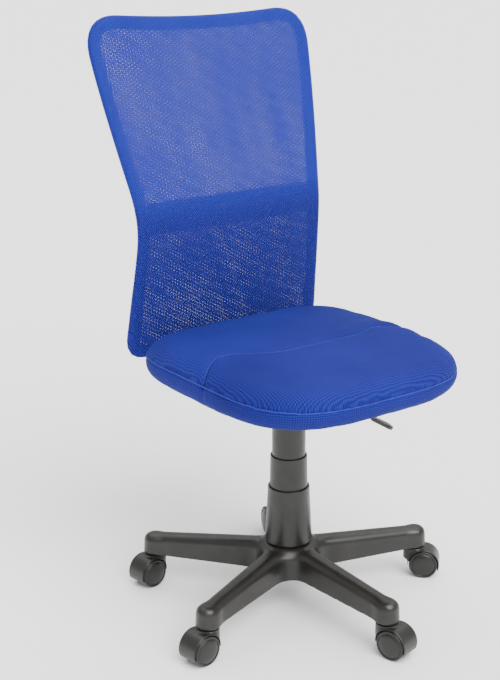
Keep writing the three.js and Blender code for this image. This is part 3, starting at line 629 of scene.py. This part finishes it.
def wheel_mesh():
    """A wheel with a soft domed face inside a shallow ring, its dome towards +Z."""
    face = 20.6 * MM
    return turned("wheel", [
        (0, 7.2 * MM), (12 * MM, 7.2 * MM), (12 * MM, 12 * MM), (21 * MM, 12 * MM), (22 * MM, 7.2 * MM),
        *arc((WHEEL_RADIUS - 2 * MM, 9.2 * MM), 2 * MM, -80, 0, 4),
        *arc((WHEEL_RADIUS - 2.2 * MM, face - 2.2 * MM), 2.2 * MM, 0, 80, 6),
        (22.2 * MM, face + 0.15 * MM), (21.6 * MM, face), (21 * MM, face - 0.9 * MM),
        (20.2 * MM, face - 1 * MM), (19.6 * MM, face - 0.3 * MM), (18.8 * MM, face + 0.4 * MM),
        (15 * MM, face + 1.4 * MM), (10 * MM, face + 2.1 * MM), (5 * MM, face + 2.4 * MM),
        (0, face + 2.5 * MM),
    ], 72)


def castors():
    hood = hood_mesh()
    wheel = wheel_mesh()
    for index, stem in enumerate(STEMS):
        label = f"castor_{index + 1}"
        axis = Vector(JOINTS[f"{label}_wheel_left_spin"]["axis"])
        heading = math.atan2(-axis.x, axis.y)
        place = Matrix.Translation((stem.x, stem.y, 0)) @ Matrix.Rotation(heading, 4, "Z")
        piece = link(f"{label}_shell", hood)
        piece.matrix_world = place
        finish_piece(piece, label, CHARCOAL, [f"{label}_hood"])
        for side, quarter in (("left", -math.pi / 2), ("right", math.pi / 2)):
            node = f"{label}_wheel_{side}"
            disc = link(f"{node}_disc", wheel)
            disc.matrix_world = place @ AXLE_PLACE @ Matrix.Rotation(quarter, 4, "X")
            finish_piece(disc, node, WHEEL, [node])


# ---------------------------------------------------------------- column covers
def cover(name, body, profile):
    piece = link(f"{name}_shell", turned(name, profile, 96, closed=True))
    piece.matrix_world = Matrix.Translation(COLUMN)
    crease_by_angle(piece, 40)
    return finish_piece(piece, body, CHARCOAL, [name])


def rim_over(radius, top, soft):
    """The rounded upper edge of a cover, from outside inwards."""
    return arc((radius - soft, top - soft), soft, 0, 90, 5)


def covers():
    low, high = (corner[2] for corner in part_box("lower_cover"))
    cover("lower_cover", "base", [
        (36 * MM, low), *arc((36.6 * MM, low + 3.4 * MM), 3.2 * MM, -90, -8, 6),
        (37.6 * MM, low + 45 * MM), (35.4 * MM, high - 12 * MM), *rim_over(35 * MM, high, 1.3 * MM),
        (32.3 * MM, high), (32.3 * MM, high - 3 * MM), (33.3 * MM, high - 5 * MM), (35 * MM, low + 20 * MM),
    ])
    low, high = (corner[2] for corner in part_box("middle_cover"))
    cover("middle_cover", "middle_cover", [
        (32.8 * MM, low), (32.8 * MM, low + 3 * MM), (31.8 * MM, low + 4 * MM),
        (31.9 * MM, low + 50 * MM), (31 * MM, high - 10 * MM), *rim_over(30.7 * MM, high, 1.1 * MM),
        (28.5 * MM, high), (28.5 * MM, high - 3 * MM), (29.4 * MM, high - 5 * MM), (30 * MM, low),
    ])
    low, high = (corner[2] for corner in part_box("upper_cover"))
    cover("upper_cover", "seat", [
        (29 * MM, low), (29 * MM, low + 3 * MM), (28 * MM, low + 4 * MM), (28 * MM, high),
        (25.9 * MM, high), (25.9 * MM, low),
    ])


# ---------------------------------------------------------------- seat
SEAT_MIDDLE = (CUSHION_LOW + CUSHION_HIGH) / 2
SEAT_HALF_WIDTH = (CUSHION_HIGH.x - CUSHION_LOW.x) / 2
SEAT_HALF_DEPTH = (CUSHION_HIGH.y - CUSHION_LOW.y) / 2
SEAT_BOTTOM, SEAT_TOP = CUSHION_LOW.z, CUSHION_HIGH.z
FRONT_FALL = 8 * MM


def smooth_between(value, low, high):
    share = min(1.0, max(0.0, (value - low) / (high - low)))
    return share * share * (3 - 2 * share)


def front_fall(y):
    """How far the top has dropped at a distance in front of the column."""
    return FRONT_FALL * smooth_between(COLUMN.y - y, 0.04, 0.30)


def seat_edge(angle, inset):
    """A point of the seat's plan: a rounded oblong, softer at the front than at the rear."""
    cosine, sine = math.cos(angle), math.sin(angle)
    power = 2 / 3.2 if sine < 0 else 2 / 5
    x = (SEAT_HALF_WIDTH - inset) * math.copysign(abs(cosine) ** power, cosine)
    y = (SEAT_HALF_DEPTH - inset) * math.copysign(abs(sine) ** power, sine)
    return SEAT_MIDDLE.x + x, SEAT_MIDDLE.y + y


def cushion_rings(levels, count=96):
    rings = []
    for inset, height, share in levels:
        ring = []
        for i in range(count):
            x, y = seat_edge(2 * math.pi * i / count, inset)
            ring.append(Vector((x, y, height - share * front_fall(y))))
        rings.append(ring)
    return rings


SEAM_INSET = 2.5 * MM
SEAM_HEIGHT = SEAT_TOP - 28 * MM
LOWER_ROUND = 26 * MM


def cross_seam_y(x):
    """Depth of the seam across the top panel: level, with a hump to the rear near each end."""
    along = x - COLUMN.x
    left_width = 0.055 if along > -0.15 else 0.048
    left = 0.044 * math.exp(-((along + 0.15) / left_width) ** 2)
    right = 0.021 * math.exp(-((along - 0.145) / 0.035) ** 2)
    return COLUMN.y - 0.066 + left + right


def seat_inset(point):
    """Roughly how far a point lies inside the seat's plan outline."""
    power = 3.2 if point.y < SEAT_MIDDLE.y else 5
    across = abs(point.x - SEAT_MIDDLE.x) / SEAT_HALF_WIDTH
    along = abs(point.y - SEAT_MIDDLE.y) / SEAT_HALF_DEPTH
    return (1 - (across ** power + along ** power) ** (1 / power)) * SEAT_HALF_WIDTH


def pumped_up(piece, cap):
    """Swell the closed mesh with cloth pressure, and let no point travel further than cap."""
    rest = [vertex.co.copy() for vertex in piece.data.vertices]
    cloth = piece.modifiers.new("cloth", "CLOTH")
    settings = cloth.settings
    settings.use_pressure = True
    settings.uniform_pressure_force = 4.0
    settings.effector_weights.gravity = 0.0
    settings.quality = 4
    scene = bpy.context.scene
    for step in range(1, 21):
        scene.frame_set(step)
    shown = piece.evaluated_get(bpy.context.evaluated_depsgraph_get())
    moved = [vertex.co.copy() for vertex in shown.data.vertices]
    piece.modifiers.clear()
    scene.frame_set(1)
    for vertex, start, end in zip(piece.data.vertices, rest, moved):
        travel = end - start
        if travel.length > cap:
            travel *= cap / travel.length
        vertex.co = start + travel
    return piece


def cushion():
    lower = []
    for degrees in (88, 70, 50, 30, 10):
        turn = math.radians(degrees)
        rise = LOWER_ROUND * (1 - math.sin(turn))
        lower.append((LOWER_ROUND * (1 - math.cos(turn)), SEAT_BOTTOM + rise, 0))
    crown = [
        (0, SEAM_HEIGHT - 10 * MM, 0), (1 * MM, SEAM_HEIGHT - 3 * MM, 0), (SEAM_INSET, SEAM_HEIGHT, 0),
        (4 * MM, SEAM_HEIGHT + 6 * MM, 0.1), (7.5 * MM, SEAM_HEIGHT + 11 * MM, 0.2),
        (17 * MM, SEAM_HEIGHT + 19 * MM, 0.5), (26 * MM, SEAM_HEIGHT + 22 * MM, 0.8),
        (40 * MM, SEAT_TOP - 4 * MM, 1), (85 * MM, SEAT_TOP - 1.5 * MM, 1),
        (135 * MM, SEAT_TOP - 0.5 * MM, 1), (190 * MM, SEAT_TOP - 0.5 * MM, 1),
    ]
    pad = link("cushion", lofted("cushion", cushion_rings(lower + crown)))
    remeshed(pad, 4.5 * MM)
    pumped_up(pad, 3 * MM)
    smoothed(pad, 3)
    step = pad.modifiers.new("finer", "SUBSURF")
    step.levels = 1
    step.render_levels = 1
    bake_modifiers(pad)
    sew(pad)
    tuck_under(pad)
    lay_weave(pad)
    pad.data.shade_smooth()
    finish_piece(pad, "seat", SEAT_FABRIC, ["seat_cushion"])
    return pad


def tuck_under(pad):
    """The cover ends at the edge of the board below, so the underside inside that edge lies above it."""
    board_inset = (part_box("seat_board")[0][0] - CUSHION_LOW.x) + 0.5 * MM
    for vertex in pad.data.vertices:
        point = vertex.co
        if point.z > SEAT_BOTTOM + 14 * MM:
            continue
        share = smooth_between(seat_inset(point), board_inset - 4 * MM, board_inset)
        floor = SEAT_BOTTOM + 6 * MM * share
        point.z = max(point.z, floor) if share < 1 else floor


def perimeter_seam(angle):
    """Where the boxing meets the top panel."""
    x, y = seat_edge(angle, SEAM_INSET)
    return Vector((x, y, SEAM_HEIGHT - front_fall(y)))


SEAM_STEPS = 360


def seam_tree():
    """The perimeter seam's points, and a thin upright ribbon along it to search."""
    path = [perimeter_seam(2 * math.pi * (i + 0.25 * SEAM_STEPS) / SEAM_STEPS) for i in range(SEAM_STEPS)]
    ribbon = [point + Vector((0, 0, lift)) for lift in (-0.2 * MM, 0.2 * MM) for point in path]
    quads = []
    for i in range(SEAM_STEPS):
        after = (i + 1) % SEAM_STEPS
        quads.append((i, after, SEAM_STEPS + after, SEAM_STEPS + i))
    return path, BVHTree.FromPolygons(ribbon, quads)


def lay_weave(pad):
    """Store how the cloth lies: the top panel's weave runs in plan, and the boxing's along the seam."""
    path, tree = seam_tree()
    lengths = [0.0]
    for a, b in zip(path, path[1:] + path[:1]):
        lengths.append(lengths[-1] + (b - a).xy.length)
    mesh = pad.data
    weave = mesh.attributes.new("weave", "FLOAT_VECTOR", "CORNER")
    along = []
    for vertex in mesh.vertices:
        place, _, index, _ = tree.find_nearest(vertex.co)
        along.append(lengths[index] + (place - path[index]).xy.length)
    for polygon in mesh.polygons:
        centre = polygon.center
        boxing = centre.z < SEAM_HEIGHT - front_fall(centre.y)
        first = along[polygon.vertices[0]]
        for corner, index in zip(polygon.loop_indices, polygon.vertices):
            point = mesh.vertices[index].co
            reach = along[index]
            if abs(reach - first) > lengths[-1] / 2:
                reach += math.copysign(lengths[-1], first - reach)
            weave.data[corner].vector = (reach, point.z, 0) if boxing else (point.x, point.y, 0)


def sew(pad):
    """Press the cross seam and the perimeter seam into the swollen cushion."""
    _, tree = seam_tree()
    normals = [vertex.normal.copy() for vertex in pad.data.vertices]
    for vertex, normal in zip(pad.data.vertices, normals):
        point = vertex.co
        across = point.y - cross_seam_y(point.x)
        share = abs(point.x - SEAT_MIDDLE.x) / SEAT_HALF_WIDTH
        upper = smooth_between(normal.z, 0.1, 0.6)
        deeper = 1.0 + 0.9 * smooth_between(share, 0.7, 1.0)
        groove = 3.0 * MM * math.exp(-(across / (4.5 * MM)) ** 2) * deeper
        swell = 2.0 * MM * math.exp(-((abs(across) - 22 * MM) / (17 * MM)) ** 2)
        _, _, _, distance = tree.find_nearest(point)
        crease = 2.0 * MM * math.exp(-(distance / (3.4 * MM)) ** 2)
        side = (1 - upper) * smooth_between(share, 0.9, 1.0)
        pucker = 1.8 * MM * math.exp(-(across / (6 * MM)) ** 2) * side
        vertex.co = point + normal * ((swell - groove) * upper - crease - pucker)


def piping(pad):
    """The raised seam round the edge of the top panel, and the thin ridge of the cross seam."""
    tree = BVHTree.FromObject(pad, bpy.context.evaluated_depsgraph_get())
    path = []
    for i in range(240):
        place, normal, _, _ = tree.find_nearest(perimeter_seam(2 * math.pi * i / 240))
        path.append(place + normal * 0.4 * MM)
    edge = link("seat_piping", swept("seat_piping", path, 1.25 * MM, 10, closed=True))
    finish_piece(edge, "seat", PIPING_FABRIC)
    line = []
    for i in range(121):
        x = SEAT_MIDDLE.x + (SEAT_HALF_WIDTH - 4.5 * MM) * (2 * i / 120 - 1)
        start = Vector((x, cross_seam_y(x) + 0.6 * MM, SEAT_TOP + 0.05))
        place, normal, _, _ = tree.ray_cast(start, Vector((0, 0, -1)))
        if place is None:
            place, normal, _, _ = tree.find_nearest(Vector((x, start.y, SEAM_HEIGHT)))
        line.append(place + normal * 0.35 * MM)
    ridge = link("seat_cross_seam", swept("seat_cross_seam", line, 0.9 * MM, 8))
    finish_piece(ridge, "seat", PIPING_FABRIC)


# ---------------------------------------------------------------- back
LOWER_SLOPE = -0.156
UPPER_SLOPE = 0.31
WAIST_BLEND = 0.018
WAIST_Y = COLUMN.y + 0.1512
FRAME_HALF_WIDTH = 9.5 * MM
FRAME_HALF_DEPTH = 7 * MM
BACK_MIDDLE_X = (BACK_LOW.x + BACK_HIGH.x) / 2
RAIL_LOW, RAIL_HIGH = 0.427, 0.956
TOP_DIP = 5.5 * MM


def back_y(height):
    above = (height - WAIST_HEIGHT) / WAIST_BLEND
    bend = WAIST_BLEND * math.log1p(math.exp(above))
    return WAIST_Y + LOWER_SLOPE * (height - WAIST_HEIGHT) + (UPPER_SLOPE - LOWER_SLOPE) * bend


def back_normal(height):
    slope = (back_y(height + 0.5 * MM) - back_y(height - 0.5 * MM)) / MM
    return Vector((0, 1, -slope)).normalized()


def on_back(x, height, offset):
    return Vector((BACK_MIDDLE_X + x, back_y(height), height)) + back_normal(height) * offset


def bezier(corners, steps):
    """Points of a Bezier curve of any order, without its first point."""
    points = []
    for i in range(1, steps + 1):
        share = i / steps
        level = [Vector(corner) for corner in corners]
        while len(level) > 1:
            level = [a.lerp(b, share) for a, b in zip(level, level[1:])]
        points.append(level[0])
    return points


def half_outline():
    """Right half of the frame's centreline in front view, from the bottom rail to the top rail."""
    foot, waist, crown = 0.185, 0.1715, 0.205
    points = [Vector((0, RAIL_LOW))]
    points += bezier([(0, RAIL_LOW), (foot - 0.024, RAIL_LOW)], 12)
    points += bezier([(foot - 0.024, RAIL_LOW), (foot, RAIL_LOW), (foot - 0.001, RAIL_LOW + 0.026)], 8)
    points += bezier([(foot - 0.001, RAIL_LOW + 0.026), (waist + 0.002, WAIST_HEIGHT - 0.05)], 12)
    points += bezier([
        (waist + 0.002, WAIST_HEIGHT - 0.05), (waist - 0.001, WAIST_HEIGHT),
        (waist + 0.006, WAIST_HEIGHT + 0.05),
    ], 8)
    points += bezier([
        (waist + 0.006, WAIST_HEIGHT + 0.05), (waist + 0.022, WAIST_HEIGHT + 0.15), (crown - 0.005, 0.85),
        (crown, 0.905),
    ], 14)
    points += bezier([
        (crown, 0.905), (crown + 0.004, 0.95), (0.184, RAIL_HIGH + 0.004), (0.148, RAIL_HIGH),
    ], 14)
    points += bezier([(0.148, RAIL_HIGH), (0.07, RAIL_HIGH - TOP_DIP), (0, RAIL_HIGH - TOP_DIP)], 10)
    return points


def spaced(points, count):
    """The same polyline as evenly spaced points, both ends included."""
    lengths = [0.0]
    for a, b in zip(points, points[1:]):
        lengths.append(lengths[-1] + (b - a).length)
    result = []
    segment = 0
    for i in range(count + 1):
        wanted = lengths[-1] * i / count
        while segment < len(points) - 2 and lengths[segment + 1] < wanted:
            segment += 1
        span = lengths[segment + 1] - lengths[segment]
        share = (wanted - lengths[segment]) / span if span else 0.0
        result.append(points[segment].lerp(points[segment + 1], min(1.0, share)))
    return result


def frame_outline(count=200):
    half = spaced(half_outline(), count // 2)
    left = [Vector((-p.x, p.y)) for p in reversed(half[1:-1])]
    return half + left


OUTLINE = frame_outline()


def outline_outwards(i):
    """Unit vector in front view that points out of the frame at one point of its centreline."""
    along = OUTLINE[(i + 1) % len(OUTLINE)] - OUTLINE[i - 1]
    return Vector((along.y, -along.x)).normalized()


def around_frame(section, loop_name):
    """Sweep a section of (outwards, rearwards) corners along the frame's centreline."""
    rings = []
    for i, centre in enumerate(OUTLINE):
        outwards = outline_outwards(i)
        ring = []
        for out, rear in section:
            place = centre + outwards * out
            ring.append(on_back(place.x, place.y, rear))
        rings.append(ring)
    return lofted(loop_name, rings, loop=True)


def frame_tube():
    section = []
    for k in range(20):
        turn = 2 * math.pi * k / 20
        across = FRAME_HALF_WIDTH * math.copysign(abs(math.cos(turn)) ** 0.8, math.cos(turn))
        deep = FRAME_HALF_DEPTH * math.copysign(abs(math.sin(turn)) ** 0.8, math.sin(turn))
        section.append((across, deep))
    tube = link("frame_tube", around_frame(section, "frame_tube"))
    finish_piece(tube, "seat", FRAME_FABRIC, ["back_frame"])


def lumbar_bar():
    """The padded bar across the waist, between the two layers of mesh."""
    low, high = (corner[2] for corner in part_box("cross_brace"))
    half = (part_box("cross_brace")[1][0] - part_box("cross_brace")[0][0]) / 2
    rings = []
    for i in range(25):
        x = half * (2 * i / 24 - 1)
        ring = []
        for k in range(36):
            turn = 2 * math.pi * k / 36
            rise = math.copysign(abs(math.sin(turn)) ** 0.45, math.sin(turn))
            deep = math.copysign(abs(math.cos(turn)) ** 0.6, math.cos(turn))
            height = (low + high) / 2 + rise * (high - low) / 2
            ring.append(on_back(x, height, deep * 6.4 * MM))
        rings.append(ring)
    bar = link("lumbar_bar", lofted("lumbar_bar", rings))
    crease_by_angle(bar, 60)
    finish_piece(bar, "seat", FRAME_FABRIC, ["cross_brace"])


SHEET_SKIN = 0.9 * MM


def mesh_sheet(name, side, node, material, slack):
    """One layer of the mesh sleeve: wrapped round the frame from its outer edge, then stretched inside."""
    lip = [
        (10.6, 0.0), (10.5, 1.9), (9.9, 4.0), (8.6, 5.8), (6.4, 7.3), (3.4, 8.2), (0.0, 8.5), (-4.0, 8.4),
        (-7.5, 8.2), (-11.0, 7.9),
    ]
    rows = []
    for out, rear in lip:
        ring = []
        for i, centre in enumerate(OUTLINE):
            place = centre + outline_outwards(i) * out * MM
            ring.append(on_back(place.x, place.y, side * rear * MM))
        rows.append(ring)
    inner_edge = [centre + outline_outwards(i) * -11.0 * MM for i, centre in enumerate(OUTLINE)]
    middle = Vector((0, (RAIL_LOW + RAIL_HIGH) / 2))
    steps = 26
    for step in range(1, steps):
        share = 1 - step / steps
        ring = []
        for corner in inner_edge:
            place = middle + (corner - middle) * share
            depth = 7.9 * MM - slack * smooth_between(1 - share, 0.0, 0.5)
            ring.append(on_back(place.x, place.y, side * depth))
        rows.append(ring)
    count = len(OUTLINE)
    points = [point for row in rows for point in row]
    faces = []
    for row in range(len(rows) - 1):
        for k in range(count):
            after = (k + 1) % count
            inner, outer = (row + 1) * count, row * count
            faces.append((outer + k, outer + after, inner + after, inner + k))
    points.append(on_back(0, middle.y, side * (7.9 * MM - slack)))
    last = (len(rows) - 1) * count
    for k in range(count):
        faces.append((last + k, last + (k + 1) % count, len(points) - 1))
    mesh = mesh_from(name, points, faces)
    piece = link(name, mesh)
    thick = piece.modifiers.new("skin", "SOLIDIFY")
    thick.thickness = SHEET_SKIN
    thick.offset = 0.0
    bake_modifiers(piece)
    piece.data.shade_smooth()
    finish_piece(piece, "seat", material, [node])


def sleeve_seam():
    """The flat-felled seam where the two layers meet round the outer edge."""
    path = []
    for i, centre in enumerate(OUTLINE):
        place = centre + outline_outwards(i) * 11.0 * MM
        path.append(on_back(place.x, place.y, 0.0))
    seam = link("sleeve_seam", swept("sleeve_seam", path, 0.9 * MM, 8, closed=True))
    finish_piece(seam, "seat", PIPING_FABRIC)


# ---------------------------------------------------------------- carried-over CAD nodes
def dress_cad_nodes():
    looks = {
        BLACK: ["guide_bushing", "lever_grip"],
        BLACK_STEEL: ["outer_tube", "mechanism_box", "seat_plate", "lever_rod", "j_bracket"],
        STEEL: ["rod_clip", "thrust_bearing", "taper_socket", "release_pin"],
        CHROME: ["piston_rod", "gas_cylinder"],
        PLYWOOD: ["seat_board"],
    }
    looks[STEEL] += [f"plate_bolt_{i}" for i in range(1, 5)]
    looks[STEEL] += [f"bracket_seat_bolt_{i}" for i in (1, 2)] + [f"bracket_back_bolt_{i}" for i in (1, 2)]
    looks[STEEL] += [f"castor_{i}_{part}" for i in range(1, 6) for part in ("stem", "axle")]
    for material, nodes in looks.items():
        for node in nodes:
            for slot in bpy.data.objects[node].material_slots:
                slot.material = material


# ---------------------------------------------------------------- floor and light
def studio():
    mesh = bpy.data.meshes.new("floor")
    size = 30.0
    corners = [(-size, -size, 0), (size, -size, 0), (size, size, 0), (-size, size, 0)]
    mesh.from_pydata(corners, [], [(0, 1, 2, 3)])
    floor = link("floor", mesh)
    n = Nodes("floor_paper")
    n.set(Base_Color=(0.95, 0.95, 0.95), Roughness=0.95)
    n.shader.inputs["Specular IOR Level"].default_value = 0.1
    mesh.materials.append(n.material)
    world = bpy.data.worlds.new("studio")
    world.use_nodes = True
    background = world.node_tree.nodes["Background"]
    background.inputs["Color"].default_value = (1, 1, 1, 1)
    background.inputs["Strength"].default_value = 0.9
    bpy.context.scene.world = world
    for name, place, softness, power in (
        ("key", (-0.1, -1.0, 1.25), 50, 5.0),
        ("top", (0.3, 0.3, 1.5), 70, 2.0),
    ):
        data = bpy.data.lights.new(name, "SUN")
        data.angle = math.radians(softness)
        data.energy = power
        light = bpy.data.objects.new(name, data)
        light.rotation_euler = (-Vector(place)).to_track_quat("-Z", "Y").to_euler()
        bpy.context.scene.collection.objects.link(light)


add_camera()
base_star()
castors()
covers()
seat_pad = cushion()
piping(seat_pad)
frame_tube()
lumbar_bar()
mesh_sheet("back_mesh_front", -1, "mesh_front", MESH_FRONT, 1.0 * MM)
mesh_sheet("back_mesh_rear", 1, "mesh_rear", MESH_REAR, 1.0 * MM)
sleeve_seam()
dress_cad_nodes()
studio()
